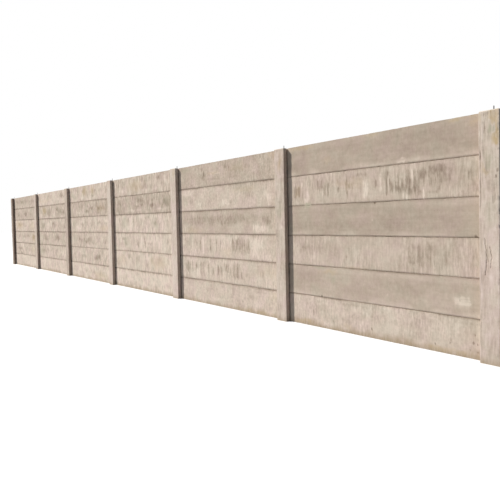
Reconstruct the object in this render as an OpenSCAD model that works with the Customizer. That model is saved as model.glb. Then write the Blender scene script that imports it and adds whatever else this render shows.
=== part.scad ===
// Precast concrete boundary wall: slotted posts with planks stacked between them.
// X runs along the wall, Y from its front face to its back, Z up. Millimetres.
// The origin is the middle of the middle post's foot.

/* [Run] */
// Number of bays, each between two posts
bay_count = 6; // [1:1:7]
// Distance between post centres
bay_pitch = 3000; // [1500:50:4000]
// Number of planks stacked in a bay
plank_count = 6; // [1:1:6]

/* [Post] */
// Width of a post along the wall
post_w = 200; // [180:5:300]
// Depth of a post through the wall
post_d = 200; // [160:5:300]
// Height of a post's head above the top plank
head_rise = 0; // [0:5:200]
// Chamfer on the four long outer arrises
post_chamfer = 5; // [3:1:20]
// Chamfer round the head
head_chamfer = 8; // [3:1:20]

/* [Slot] */
// Depth of a slot into the side of a post
slot_depth = 50; // [35:1:60]
// Spare width of a slot beside a plank, measured at the slot's root
slot_play = 10; // [4:1:20]
// Draft on each wall of a slot, between its root and its mouth
slot_draft = 2; // [0:0.5:6]
// Bevel in the two root corners of a slot
root_bevel = 8; // [2:1:14]
// Chamfer on the arrises of a slot's mouth
mouth_chamfer = 5; // [1:1:10]

/* [Plank] */
// Height of a plank, from one bed to the next
plank_h = 400; // [200:10:600]
// Thickness of a plank
plank_t = 60; // [50:1:80]
// Chamfer on a plank's long arrises, apart from the bevelled one
plank_chamfer = 2; // [1:0.5:5]
// Height of the bevel along a plank's front bottom arris
bevel_h = 7; // [2:1:20]
// Depth of that bevel, from the face
bevel_depth = 5; // [2:1:8]
// Space between a plank's end and the bevels at the slot's root
end_clear = 2; // [0.5:0.5:12]

/* [Bed joint] */
// Width of the tongue at its base
tongue_w = 18; // [12:1:22]
// Height of the tongue
tongue_h = 12; // [6:1:20]
// Draft on each side of the tongue
tongue_draft = 2; // [0:0.5:3]
// Clearance all round the tongue in its groove
groove_play = 1.5; // [0.5:0.5:2]
// Height of the open joint at the foot of the bevel
open_h = 4; // [1:0.5:8]
// Depth of the open joint behind the bevel
open_depth = 5; // [2:1:6]

/* [Head bar] */
// Diameter of the bar that stands out of each head
bar_d = 10; // [6:1:20]
// Length of bar above the head
bar_stand = 50; // [20:5:150]

/* [Hidden] */
bar_fn = 48;
cut_over = 1; // how far a cutter runs past the face that it cuts
seat_clear = 0.3; // between a plank's back and the slot wall it leans on
post_count = bay_count + 1;
post_h = plank_count * plank_h + head_rise;
slot_w = plank_t + slot_play;
plank_end = root_bevel + end_clear; // from the slot's root to the plank's end
plank_l = bay_pitch - post_w + 2 * (slot_depth - plank_end);
plank_back = slot_half(plank_end) - seat_clear;

function plank_name(bay, course) = str("bay_", bay, "_plank_", course);

// Where post i stands along the wall; the middle post is at the origin
function post_x(i) = (i - 1 - floor(bay_count / 2)) * bay_pitch;

// Half the slot's width at a distance u out from its root
function slot_half(u) = slot_w / 2 + slot_draft * u / slot_depth;

function flipped_x(line) = [for (i = [len(line) - 1:-1:0]) [-line[i].x, line[i].y]];
function flipped_y(line) = [for (i = [len(line) - 1:-1:0]) [line[i].x, -line[i].y]];

// A quarter of the post's outline: front arris, slot mouth and slot root on the right
function post_quarter() =
    let (side = post_w / 2, front = -post_d / 2, root = side - slot_depth)
    [
        [side - post_chamfer, front],
        [side, front + post_chamfer],
        [side, -slot_half(slot_depth) - mouth_chamfer],
        [side - mouth_chamfer, -slot_half(slot_depth - mouth_chamfer)],
        [root + root_bevel, -slot_half(root_bevel)],
        [root, root_bevel - slot_half(0)],
    ];

function post_outline() =
    let (right = concat(post_quarter(), flipped_y(post_quarter())))
    concat(right, flipped_x(right));

// A 45 degree cut along a top arris that runs along X, at the given half depth
module arris_cut(half_depth, length, chamfer) {
    for (side = [-1, 1])
        translate([0, side * half_depth, 0])
            rotate([45, 0, 0])
                cube([length + 2 * cut_over, chamfer * sqrt(2), chamfer * sqrt(2)], center = true);
}

module head_cut() {
    arris_cut(post_d / 2, post_w, head_chamfer);
    rotate([0, 0, 90])
        arris_cut(post_w / 2, post_d, head_chamfer);
}

module post(i) {
    color([0.80, 0.74, 0.68])
        translate([post_x(i), 0, 0])
            difference() {
                linear_extrude(post_h)
                    polygon(post_outline());
                translate([0, 0, post_h])
                    head_cut();
            }
}

// The tongue's side at height z above the bed, widened by a clearance
function tongue_half(z, play) = tongue_w / 2 + play - tongue_draft * z / tongue_h;

// Bottom edge of a plank from front to back; y is measured from the plank's middle
function bed_edge(grooved) =
    let (
        face = plank_t / 2,
        shoulder = face - plank_chamfer,
        bevel_foot = face - bevel_depth,
        bearing = bevel_foot - open_depth,
        roof = tongue_h + groove_play
    )
    grooved
        ? [
            [-face, open_h + bevel_h],
            [-bevel_foot, open_h],
            [-bearing, open_h],
            [-bearing, 0],
            [-tongue_half(0, groove_play), 0],
            [-tongue_half(roof, groove_play), roof],
            [tongue_half(roof, groove_play), roof],
            [tongue_half(0, groove_play), 0],
            [shoulder, 0],
            [face, plank_chamfer],
        ]
        : [[-face, plank_chamfer], [-shoulder, 0], [shoulder, 0], [face, plank_chamfer]];

// Top edge of a plank from back to front
function top_edge(tongued) =
    let (face = plank_t / 2, shoulder = face - plank_chamfer)
    concat(
        [[face, plank_h - plank_chamfer], [shoulder, plank_h]],
        tongued
            ? [
                [tongue_half(0, 0), plank_h],
                [tongue_half(tongue_h, 0), plank_h + tongue_h],
                [-tongue_half(tongue_h, 0), plank_h + tongue_h],
                [-tongue_half(0, 0), plank_h],
            ]
            : [],
        [[-shoulder, plank_h], [-face, plank_h - plank_chamfer]]
    );

// The ground plank has a flat bed and the top plank a flat top; the others have both joints
module plank(bay, course) {
    color([0.75, 0.69, 0.63])
        translate([
            post_x(bay) + post_w / 2 - slot_depth + plank_end,
            plank_back - plank_t / 2,
            (course - 1) * plank_h
        ])
            rotate([90, 0, 90])
                linear_extrude(plank_l)
                    polygon(concat(bed_edge(course > 1), top_edge(course < plank_count)));
}

// Bars cast into the heads, as far as they show
module head_bars() {
    color([0.22, 0.20, 0.19])
        for (i = [1:post_count])
            translate([post_x(i), 0, post_h])
                cylinder(h = bar_stand, d = bar_d, $fn = bar_fn);
}

for (i = [1:post_count])
    post(i);
for (b = [1:bay_count], p = [1:plank_count])
    plank(b, p);
head_bars();
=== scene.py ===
import math

import bpy
import numpy as np
from mathutils import Matrix, Vector


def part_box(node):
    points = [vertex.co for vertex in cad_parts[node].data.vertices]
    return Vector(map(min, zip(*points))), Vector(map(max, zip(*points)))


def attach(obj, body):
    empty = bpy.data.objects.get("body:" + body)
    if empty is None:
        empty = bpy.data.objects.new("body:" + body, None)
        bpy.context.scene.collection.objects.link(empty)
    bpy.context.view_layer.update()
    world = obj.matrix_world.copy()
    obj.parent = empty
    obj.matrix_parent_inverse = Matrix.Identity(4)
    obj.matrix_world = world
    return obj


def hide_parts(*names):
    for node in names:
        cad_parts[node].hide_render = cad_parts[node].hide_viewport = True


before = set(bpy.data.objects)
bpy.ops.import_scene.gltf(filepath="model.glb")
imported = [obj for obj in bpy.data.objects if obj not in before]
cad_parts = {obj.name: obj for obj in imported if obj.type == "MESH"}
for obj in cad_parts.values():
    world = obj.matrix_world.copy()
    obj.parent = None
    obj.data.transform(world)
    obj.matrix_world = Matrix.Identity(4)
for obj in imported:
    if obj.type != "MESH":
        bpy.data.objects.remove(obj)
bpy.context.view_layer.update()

# ------------------------------------------------------------------ posts
# Seven H-section posts of reinforced concrete, cast on their backs in steel moulds and set in
# the ground. Lifting and weather have chipped their long arrises, flaked the face in upright
# scabs and left the heads stained where rust and dust wash down from the bars.

POST_CHAMFER = 0.005
HEAD_CHAMFER = 0.008
SLOT_DEPTH = 0.050
SLOT_HALF_AT_ROOT = 0.035
SLOT_DRAFT = 0.002
ROOT_BEVEL = 0.008
MOUTH_CHAMFER = 0.005
# How far in the nose of an arris sits, as a share of the chamfer
ARRIS_NOSE = 0.18
POST_SWELL = 0.0012
SCAB_DEPTH = 0.0014
CRACK_DEPTH = 0.0030
CRACK_HALF_WIDTH = 0.005
# Between a post's points; the last post stands nearest the camera and is the finest
POST_SPACING = 0.013
LAST_POST_SPACING = 0.004
# Sides shorter than this get no points of their own
SHORTEST_SIDE = 0.040


def linear(red, green, blue):
    """A colour as paint charts give it, 0 to 255, in the linear values that shaders take."""
    def one(value):
        value /= 255
        return value / 12.92 if value <= 0.04045 else ((value + 0.055) / 1.055) ** 2.4
    return (one(red), one(green), one(blue), 1.0)


def cloud(u, v, seed):
    """Smooth random values from 0 to 1, with one new value for each unit of u and of v."""
    repeat = 256
    table = np.random.default_rng(seed).random((repeat, repeat))
    i, j = np.floor(u).astype(int), np.floor(v).astype(int)
    a, b = u - i, v - j
    a, b = a * a * (3 - 2 * a), b * b * (3 - 2 * b)

    def corner(di, dj):
        return table[(i + di) % repeat, (j + dj) % repeat]
    near = corner(0, 0) * (1 - a) + corner(1, 0) * a
    far = corner(0, 1) * (1 - a) + corner(1, 1) * a
    return near * (1 - b) + far * b


def drift(amount, u, v, seed):
    """The same values, wandering over amount in all, as much under 0 as over it."""
    return amount * (cloud(u, v, seed) - 0.5)


def above(value, start, full):
    """0 where value is under start, 1 where it is over full, and smooth between."""
    t = np.clip((value - start) / (full - start), 0, 1)
    return t * t * (3 - 2 * t)


def divided(corners, spacing):
    """A closed outline whose longer sides get points as far apart as spacing(a, b) says."""
    ring = []
    for a, b in zip(corners, corners[1:] + corners[:1]):
        length = math.dist(a, b)
        count = max(1, round(length / spacing(a, b))) if length > SHORTEST_SIDE else 1
        ring += [(a[0] + (b[0] - a[0]) * k / count, a[1] + (b[1] - a[1]) * k / count)
                 for k in range(count)]
    return np.array(ring)


def inward(ring):
    """The direction into the solid at each point of an anticlockwise outline."""
    run = np.roll(ring, -1, axis=0) - np.roll(ring, 1, axis=0)
    run /= np.linalg.norm(run, axis=1)[:, None]
    return np.stack([-run[:, 1], run[:, 0]], axis=1)


def knocked_arrises(ring, arrises, along, reach, size, deepest, seed):
    """How far chips have knocked back each point near an arris; one row for each station."""
    gaps = np.linalg.norm(ring[:, None] - np.array(arrises)[None], axis=2)
    closeness = np.clip(1 - gaps.min(1) / reach, 0, 1)
    # each arris takes its own row of the random values
    nearest = gaps.argmin(1)[None]
    bite = cloud(along[:, None] / size, nearest * 9.3 + 0.5, seed)
    small = cloud(along[:, None] / (size * 0.3), nearest * 7.7 + 0.5, seed + 1)
    return deepest * (above(bite, 0.62, 0.95) + 0.15 * small ** 2) * closeness[None]


def placed(name, data):
    """A new object in the scene, made of the given mesh, lamp or camera."""
    thing = bpy.data.objects.new(name, data)
    bpy.context.scene.collection.objects.link(thing)
    return thing


def cast_solid(name, sections, marks):
    """A closed solid through outlines of equal count, with each of marks stored on its points."""
    stations, count = sections.shape[:2]
    first = np.arange(stations - 1)[:, None] * count + np.arange(count)[None]
    after = np.arange(stations - 1)[:, None] * count + (np.arange(count)[None] + 1) % count
    sides = np.stack([first, after, after + count, first + count], axis=-1).reshape(-1, 4)
    start = list(range(count - 1, -1, -1))
    end = list(range((stations - 1) * count, stations * count))
    mesh = bpy.data.meshes.new(name)
    mesh.from_pydata(sections.reshape(-1, 3).tolist(), [], sides.tolist() + [start, end])
    for mark, values in marks.items():
        mesh.attributes.new(mark, "FLOAT", "POINT").data.foreach_set(
            "value", np.broadcast_to(values, (stations, count)).astype(np.float32).ravel())
    mesh.shade_smooth()
    mesh.set_sharp_from_angle(angle=math.radians(32))
    return placed(name, mesh)


def shader_nodes(tree):
    """A short way to add a shader node to a tree and feed its inputs."""
    tree.nodes.clear()

    def add(kind, inputs=None, **settings):
        made = tree.nodes.new("ShaderNode" + kind)
        for key, value in settings.items():
            setattr(made, key, value)
        for key, value in (inputs or {}).items():
            if isinstance(value, bpy.types.NodeSocket):
                tree.links.new(value, made.inputs[key])
            else:
                made.inputs[key].default_value = value
        return made
    return add


def recipe(name):
    """A new material, and the way to add its nodes."""
    material = bpy.data.materials.new(name)
    material.use_nodes = True
    return material, shader_nodes(material.node_tree)


def ramp(add, value, stops):
    """A colour for each value, from stops of (value, colour) in rising order."""
    made = add("ValToRGB", {"Fac": value})
    elements = made.color_ramp.elements
    elements[0].position, elements[0].color = stops[0]
    elements[1].position, elements[1].color = stops[-1]
    for position, colour in stops[1:-1]:
        elements.new(position).color = colour
    return made.outputs["Color"]


def marked(marks, along, up, seed):
    """How much paler or darker the marks make each point, with wandering and frayed edges."""
    total = np.zeros(np.broadcast_shapes(along.shape, up.shape))
    bend = drift(0.9, along / 0.035, up / 0.05, seed)
    sway = drift(0.7, along / 0.06, up / 0.035, seed + 1)
    fray = drift(1.0, along / 0.025, up / 0.15, seed + 2)
    # a mark is full up to 0.3 of its half size, and has faded out at 1.6
    gone, fade = 1.6, 1.3
    for at, height, half_width, half_height, strength in marks:
        gap = np.hypot((along - at) / half_width + bend, (up - height) / half_height + sway + fray)
        total = total + strength * above(gone - gap, 0, fade)
    return total


def streaked(zones, along, up, seed):
    """The same for zones of upright streaks, whose ends are ragged."""
    total = np.zeros(np.broadcast_shapes(along.shape, up.shape))
    column = cloud(along / 0.014, up / 0.20, seed)
    ragged = drift(0.07, along / 0.021, 0, seed + 1)
    ends = (-0.02, 0.03)
    for left, right, low, high, strength in zones:
        soft = min(0.010, 0.4 * (right - left))
        inside = above(along - left, -soft, soft) * above(right - along, -soft, soft)
        inside = inside * above(up + ragged - low, *ends) * above(high + ragged - up, *ends)
        total = total + strength * inside * (0.55 + 0.8 * column)
    return total


def concrete(name, tones, ripple_mm, grain_mm):
    """Cast concrete: paste, sand grain, air holes, upright ripples or level brush lines, stains.

    tones are the colours of its darkest, middle and palest paste.
    """
    material, add = recipe(name)

    def mark(name):
        return add("Attribute", attribute_name=name).outputs["Fac"]

    def noise(vector, scale, detail, roughness=0.55):
        return add("TexNoise", {"Vector": vector, "Scale": scale, "Detail": detail,
                                "Roughness": roughness}).outputs["Fac"]

    def plus(value, factor, rest):
        return add("Math", {0: value, 1: factor, 2: rest}, operation="MULTIPLY_ADD").outputs[0]

    def off_middle(value, factor, rest):
        return plus(add("Math", {0: value, 1: 0.5}, operation="SUBTRACT").outputs[0], factor, rest)

    def product(value, factor):
        return add("Math", {0: value, 1: factor}, operation="MULTIPLY", use_clamp=True).outputs[0]

    def step(value, start, full):
        return add("MapRange", {"Value": value, "From Min": start, "From Max": full},
                   interpolation_type="SMOOTHSTEP").outputs[0]

    def between(factor, first, second, **settings):
        return add("MixRGB", {"Fac": factor, "Color1": first, "Color2": second}, **settings).outputs[0]

    def stretched(level, upright):
        return add("VectorMath", {0: place, 1: (level, 1.0, upright)}, operation="MULTIPLY").outputs[0]

    # each piece is cut from its own part of the pattern
    place = add("VectorMath", {0: mark("lot"), 1: (17.0, 3.0, 29.0),
                               2: add("TexCoord").outputs["Object"]}, operation="MULTIPLY_ADD").outputs[0]
    rippled, mottled = mark("rippled"), mark("mottled")
    blotch = noise(place, 7.0, 6.0, 0.62)
    mottle = noise(between(step(mottled, 1.05, 1.15), place, stretched(1.0, 0.35)), 26.0, 4.0, 0.70)
    smears = noise(stretched(1.0, 0.22), 24.0, 1.0, 0.60)
    grain = noise(place, 330.0, 4.0, 0.7)
    strokes = noise(stretched(1.0, 0.15), 62.0, 4.0, 0.65)
    bands = noise(stretched(1.0, 0.11), 28.0, 3.0, 0.60)
    brushed = noise(stretched(0.10, 1.0), 34.0, 4.0, 0.6)
    runs = noise(stretched(1.0, 0.20), 50.0, 4.0, 0.68)
    texture = between(step(rippled, 0.10, 0.25), brushed, runs)
    # air holes of mixed sizes, one at most to a cell
    cells = add("TexVoronoi", {"Vector": place, "Scale": 55.0, "Randomness": 1.0})
    size = plus(add("SeparateColor", {"Color": cells.outputs["Color"]}).outputs["Red"], 0.30, -0.17)
    hole = add("MapRange", {"Value": cells.outputs["Distance"], "From Min": size,
                            "From Max": plus(size, 1.0, 0.05), "To Min": 1.0, "To Max": 0.0},
               interpolation_type="SMOOTHSTEP").outputs[0]

    tone = off_middle(blotch, plus(mottled, 0.30, 0.20), mark("tone"))
    tone = off_middle(step(mottle, 0.36, 0.64), plus(mottled, 0.17, 0.01), tone)
    tone = off_middle(step(smears, 0.38, 0.62), plus(step(mottled, 0.8, 1.4), 0.20, 0.0), tone)
    tone = off_middle(step(bands, 0.36, 0.64), plus(rippled, 0.14, 0.01), tone)
    tone = off_middle(step(strokes, 0.38, 0.62), plus(rippled, 0.24, 0.03), tone)
    tone = off_middle(brushed, plus(rippled, -0.16, 0.20), tone)
    tone = off_middle(grain, 0.30, tone)
    # air holes are painted darker, as painted shade inside them
    tone = plus(hole, -0.30, tone)
    # a mark is soft, and strokes cover the more of it the stronger it is
    for sign, soft, stroke in ((-1.0, -0.32, -0.20), (1.0, 0.27, 0.22)):
        strength = product(mark("mark"), sign)
        covered = step(plus(strength, 0.38, plus(texture, -sign, 0.5 + 0.5 * sign)), 0.50, 0.76)
        covered = product(covered, step(strength, 0.12, 0.35))
        tone = plus(covered, stroke, plus(strength, soft, tone))

    paste = ramp(add, tone, list(zip((0.0, 0.5, 1.0), tones)))
    tint = ramp(add, noise(place, 4.5, 3.0), [(0.36, (0.985, 1.0, 0.970, 1.0)),
                                              (0.50, (1.0, 0.982, 0.960, 1.0)),
                                              (0.64, (1.0, 0.955, 0.968, 1.0))])
    paste = between(1.0, paste, tint, blend_type="MULTIPLY")
    # earth splash, then rust or ochre dust, then green algae
    for stain, sign, colour in (("earth", 1.0, linear(166, 145, 118)),
                                ("stain", 1.0, linear(192, 168, 128)),
                                ("stain", -1.0, linear(176, 170, 146))):
        broken = product(off_middle(texture, 1.6, 0.7), product(mark(stain), sign))
        paste = between(broken, paste, colour)

    relief = plus(strokes, plus(rippled, ripple_mm, 0.0), plus(grain, grain_mm, 0.0))
    relief = plus(hole, -1.2, relief)
    bump = add("Bump", {"Height": relief, "Distance": 0.001, "Strength": 1.0})
    surface = add("BsdfPrincipled", {
        "Base Color": paste, "Normal": bump.outputs["Normal"], "Specular IOR Level": 0.25,
        "Roughness": add("MapRange", {"Value": grain, "To Min": 0.80, "To Max": 0.96}).outputs[0]})
    add("OutputMaterial", {"Surface": surface.outputs["BSDF"]})
    return material


post_concrete = concrete("post_concrete",
                         (linear(142, 125, 113), linear(199, 183, 168), linear(229, 214, 202)),
                         ripple_mm=0.6, grain_mm=0.25)

# What shows on each post's face, with painted shade and highlight along the last post's left arris:
# (metres right of its middle, metres above the ground, half its width, half its height, strength).
# A dark mark is under 0, a pale one over.
POST_MARKS_AND_ARRIS_LIGHT = {
    7: [
        # the marks from -0.08 to -0.1 right of the middle run along the left arris: the dark ones are
        # painted shade where the arris meets the planks, and the pale ones are a painted highlight on the
        # arris
        (-0.082, 1.97, 0.006, 0.07, -0.9), (-0.083, 1.74, 0.004, 0.14, -0.8),
        (-0.084, 1.88, 0.004, 0.03, -0.8), (-0.085, 1.63, 0.005, 0.03, -0.6),
        (-0.095, 2.2, 0.004, 0.16, 0.3), (-0.095, 1.75, 0.004, 0.16, 0.3),
        (-0.083, 2.22, 0.004, 0.12, -0.6), (-0.064, 0.83, 0.003, 0.04, -0.4),
        (-0.05, 0.83, 0.003, 0.03, -0.35), (-0.037, 1.25, 0.003, 0.12, -0.35),
        (-0.047, 2.35, 0.005, 0.03, -0.5), (-0.056, 2.29, 0.004, 0.02, -0.5),
        (0.01, 2.24, 0.012, 0.05, -0.25), (0.072, 2.17, 0.01, 0.04, -0.45),
        (0.066, 2.36, 0.008, 0.015, -0.35), (0.04, 2.31, 0.005, 0.02, -0.4),
        (-0.088, 2.27, 0.005, 0.05, -0.3), (-0.04, 2.37, 0.06, 0.022, -0.3),
        (-0.04, 2.26, 0.006, 0.05, -0.6), (-0.045, 2.2, 0.005, 0.04, -0.45),
        (-0.025, 2.33, 0.005, 0.03, -0.3), (0.022, 2.33, 0.005, 0.04, -0.6),
        (0.018, 2.385, 0.006, 0.01, -0.4), (0.055, 2.14, 0.006, 0.05, -0.35),
        (0.084, 2.1, 0.006, 0.06, -0.4), (-0.01, 2.15, 0.01, 0.05, -0.2), (-0.02, 2.02, 0.05, 0.06, -0.12),
        (-0.03, 1.9, 0.04, 0.05, -0.16), (-0.03, 1.83, 0.022, 0.03, -0.3), (0.04, 1.95, 0.04, 0.15, 0.14),
        (0.084, 1.835, 0.01, 0.018, -0.8), (0.07, 1.78, 0.012, 0.018, -0.85),
        (0.058, 1.765, 0.006, 0.008, -0.5), (0.08, 1.7, 0.01, 0.02, -0.3), (0.03, 1.68, 0.004, 0.04, -0.2),
        (0.015, 1.35, 0.045, 0.14, 0.28), (-0.07, 1.0, 0.024, 0.15, 0.22), (-0.07, 1.35, 0.02, 0.12, 0.1),
        (0.07, 1.05, 0.02, 0.14, 0.12), (0.085, 1.5, 0.012, 0.1, 0.12), (0.035, 0.7, 0.04, 0.1, -0.08),
        (-0.03, 0.36, 0.03, 0.06, -0.1), (0.085, 0.66, 0.004, 0.07, -0.25), (-0.06, 0.6, 0.005, 0.08, -0.2),
        (-0.085, 0.45, 0.006, 0.1, -0.2), (0.0, 0.32, 0.1, 0.25, -0.14), (0.06, 1.2, 0.05, 0.6, 0.1),
        (-0.085, 1.52, 0.005, 0.1, -0.6), (-0.096, 0.75, 0.008, 0.55, -0.22),
        (-0.084, 0.25, 0.007, 0.25, -0.3), (-0.096, 2.05, 0.004, 0.25, 0.3),
        (-0.02, 0.62, 0.05, 0.08, -0.1),
    ],
    6: [
        (0.03, 1.33, 0.02, 0.03, 0.4), (-0.02, 1.29, 0.014, 0.015, 0.4), (0.06, 1.26, 0.01, 0.05, -0.3),
        (-0.02, 2.2, 0.03, 0.12, -0.18), (-0.05, 2.36, 0.012, 0.04, -0.3), (0.0, 1.75, 0.05, 0.1, 0.1),
        (-0.04, 0.6, 0.03, 0.15, 0.12), (0.03, 1.0, 0.02, 0.06, -0.15),
    ],
    5: [
        (0.02, 2.3, 0.04, 0.05, -0.25), (-0.03, 1.9, 0.03, 0.15, 0.15), (0.03, 1.3, 0.04, 0.2, 0.15),
        (0.0, 0.55, 0.05, 0.2, 0.12),
    ],
    4: [(0.0, 1.45, 0.06, 0.2, 0.2), (0.0, 0.25, 0.06, 0.1, -0.2), (-0.02, 2.25, 0.06, 0.1, 0.12)],
    2: [(0.0, 1.8, 0.06, 0.2, 0.15), (0.0, 0.25, 0.06, 0.2, 0.15)],
}
# What has coloured each face, in the same columns as the marks above: over 0 rust and ochre dust, under 0
# green algae
POST_STAINS = {
    7: [
        (0.04, 2.34, 0.05, 0.06, 0.65), (0.03, 2.27, 0.04, 0.05, 0.5), (0.06, 2.16, 0.035, 0.07, 0.7),
        (0.058, 2.1, 0.03, 0.03, 0.9), (0.01, 2.25, 0.016, 0.05, -0.9), (0.048, 2.21, 0.016, 0.03, -1.0),
        (-0.085, 2.34, 0.012, 0.05, 0.6), (-0.03, 1.83, 0.04, 0.03, 0.5), (0.02, 2.21, 0.02, 0.05, -0.5),
        (0.052, 2.22, 0.01, 0.05, -0.6), (0.078, 2.24, 0.016, 0.06, 0.6), (-0.01, 1.95, 0.04, 0.09, -0.7),
        (0.01, 1.42, 0.05, 0.08, -0.3), (0.0, 1.32, 0.06, 0.08, -0.25), (-0.06, 1.88, 0.03, 0.05, 0.3),
    ],
    6: [(0.01, 2.2, 0.04, 0.1, 0.5), (0.0, 1.5, 0.05, 0.1, -0.5)],
}
# What has coloured each post that POST_STAINS leaves out: rust from the bar in its head
RUST_BELOW_BAR = (0.03, 2.32, 0.05, 0.1, 0.35)
# How pale each post has weathered
POST_PALENESS = {1: 0.08, 2: 0.63, 3: 0.48, 4: 0.74, 5: 0.70, 6: 0.57, 7: 0.59}
# Cracks in the last post's face, each as points (metres right of its middle, above the ground)
CRACKS = {
    7: [[(-0.041, 1.20), (-0.038, 1.12), (-0.030, 1.07), (-0.021, 1.02), (-0.030, 0.97),
         (-0.034, 0.90), (-0.042, 0.85)],
        [(0.004, 1.12), (0.016, 1.07), (0.029, 1.02), (0.017, 0.99), (0.011, 0.92)],
        [(-0.021, 1.02), (-0.008, 0.98)]],
}


def post_outline(half_width, half_depth):
    """The H-section: front right quarter, mirrored to the back and then to the left."""
    side, front = half_width, -half_depth
    root = side - SLOT_DEPTH
    nose = ARRIS_NOSE * POST_CHAMFER

    def slot_half(out):
        return SLOT_HALF_AT_ROOT + SLOT_DRAFT * out / SLOT_DEPTH
    quarter = [(side - POST_CHAMFER, front),
               (side - nose, front + nose),
               (side, front + POST_CHAMFER),
               (side, -slot_half(SLOT_DEPTH) - MOUTH_CHAMFER),
               (side - MOUTH_CHAMFER, -slot_half(SLOT_DEPTH - MOUTH_CHAMFER)),
               (root + ROOT_BEVEL, -slot_half(ROOT_BEVEL)),
               (root, ROOT_BEVEL - SLOT_HALF_AT_ROOT)]
    right = quarter + [(x, -y) for x, y in reversed(quarter)]
    return right + [(-x, y) for x, y in reversed(right)]


def line_gap(lines, across, up):
    """How far each point is from the nearest of some bent lines."""
    far_off = 9.0
    nearest = np.full(np.broadcast_shapes(across.shape, up.shape), far_off)
    for line in lines:
        for (ax, az), (bx, bz) in zip(line, line[1:]):
            run = (bx - ax, bz - az)
            t = ((across - ax) * run[0] + (up - az) * run[1]) / (run[0] ** 2 + run[1] ** 2)
            t = np.clip(t, 0, 1)
            nearest = np.minimum(nearest, np.hypot(across - ax - t * run[0], up - az - t * run[1]))
    return nearest


def post_x(number):
    """Where a post's middle stands along the wall."""
    low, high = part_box(f"post_{number}")
    return (low.x + high.x) / 2


def post(number, spacing):
    """One post, its outline carved by chips, scabs and cracks on its way up."""
    name = f"post_{number}"
    low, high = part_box(name)
    half_width, half_depth = (high.x - low.x) / 2, (high.y - low.y) / 2
    height = high.z
    seed = 100 * number
    ring = divided(post_outline(half_width, half_depth),
                   lambda a, b: spacing if a[1] == b[1] < 0 else 2 * spacing)
    z = np.append(np.linspace(0, height - HEAD_CHAMFER, round(height / spacing / 1.4)), height)
    around = np.append(0, np.linalg.norm(np.diff(ring, axis=0), axis=1).cumsum())[None]
    across, up = ring[None, :, 0], z[:, None]
    front = (ring[:, 1] < -0.9 * half_depth)[None]

    # wear reaches the outer faces and leaves the slots as cast
    outside = above(np.maximum(abs(ring[:, 0]) / half_width, abs(ring[:, 1]) / half_depth),
                    0.92, 0.97)[None]
    arrises = [(sx * (half_width - POST_CHAMFER / 2), sy * (half_depth - POST_CHAMFER / 2))
               for sx in (-1, 1) for sy in (-1, 1)]
    chips = knocked_arrises(ring, arrises, z, reach=0.020, size=0.045, deepest=0.005, seed=seed)
    swell = cloud(around / 0.14, up / 0.45, seed + 2)
    scab = above(cloud(around / 0.022, up / 0.20, seed + 3), 0.62, 0.74)
    scab = scab * above(cloud(around / 0.09, up / 0.5, seed + 4), 0.45, 0.75)
    shaken = across + drift(0.010, 0, up / 0.016, seed + 5)
    crack_gap = line_gap(CRACKS.get(number, []), shaken, up)
    crack = above(CRACK_HALF_WIDTH - crack_gap, 0, 0.003) * front
    carved = outside * (chips + POST_SWELL * swell + SCAB_DEPTH * scab + CRACK_DEPTH * crack)
    points = ring[None] + inward(ring)[None] * carved[..., None]
    head = (half_width - HEAD_CHAMFER, half_depth - HEAD_CHAMFER)
    points[-1] = np.clip(points[-1], np.negative(head), head)
    sections = np.dstack([points + (post_x(number), 0), np.broadcast_to(up, points.shape[:2])])

    tone = POST_PALENESS[number] + drift(0.26, around / 0.10, up / 0.40, seed + 6)
    tone = tone + drift(0.22, around / 0.014, up / 0.10, seed + 7)
    # scabs and cracks show dark; the deepest chips get painted shade that deepens with their depth, and the
    # slots get painted fill light that lifts their shade
    tone = tone - 0.12 * scab - (0.25 + 0.50 * cloud(0, up / 0.05, seed + 12)) * crack
    in_slot = (abs(ring[:, 0]) < half_width - 0.004) & (abs(ring[:, 1]) < SLOT_HALF_AT_ROOT + 0.003)
    tone = tone - 20.0 * np.clip(chips - 0.003, 0, 1) + 0.40 * in_slot[None]
    marks = marked(POST_MARKS_AND_ARRIS_LIGHT.get(number, []), across, up, seed + 10)
    stains = marked(POST_STAINS.get(number, [RUST_BELOW_BAR]), across, up, seed + 8)
    splash = 0.05 + 0.05 * cloud(around / 0.05, 0, seed + 9)
    piece = cast_solid(name, sections, {
        "tone": tone,
        "rippled": 0.55,
        "mottled": 0.6,
        "mark": marks * front,
        "lot": number * 0.37,
        "earth": 0.9 * np.clip(1 - up / splash, 0, 1),
        "stain": stains * front,
    })
    piece.data.materials.append(post_concrete)
    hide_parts(name)
    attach(piece, "root")


posts = sorted(int(n.split("_")[1]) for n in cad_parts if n.startswith("post_"))
for number in posts:
    post(number, LAST_POST_SPACING if number == posts[-1] else POST_SPACING)

# ----------------------------------------------------------------- planks
# Concrete planks, cast face down and dropped into the slots from above, tongue up. Some faces
# took a smooth mould, most a rippled one whose upright ripples hold dirt and pale lime runs.

ARRIS_CHAMFER = 0.002
BEVEL_HEIGHT = 0.007
BEVEL_DEPTH = 0.005
OPEN_JOINT = 0.004
OPEN_DEPTH = 0.005
TONGUE_WIDTH = 0.018
TONGUE_HEIGHT = 0.012
TONGUE_DRAFT = 0.002
GROOVE_PLAY = 0.0015
RIPPLE_DEPTH = 0.0010
PLANK_SWELL = 0.0015
HOLE_DEPTH = 0.004
# Between a plank's points: along the wall, up its face, and up its back
LAST_BAY_SPACING = (0.008, 0.012, 0.040)
NEXT_BAY_SPACING = (0.010, 0.021, 0.060)
FAR_BAY_SPACING = (0.016, 0.021, 0.060)

plank_concrete = concrete("plank_concrete",
                          (linear(136, 119, 104), linear(188, 172, 156), linear(228, 212, 197)),
                          ripple_mm=0.9, grain_mm=0.18)
bays = len(posts) - 1
courses = sum(n.startswith("bay_1_plank_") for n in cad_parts)
plank_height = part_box("post_1")[1].z / courses


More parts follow.
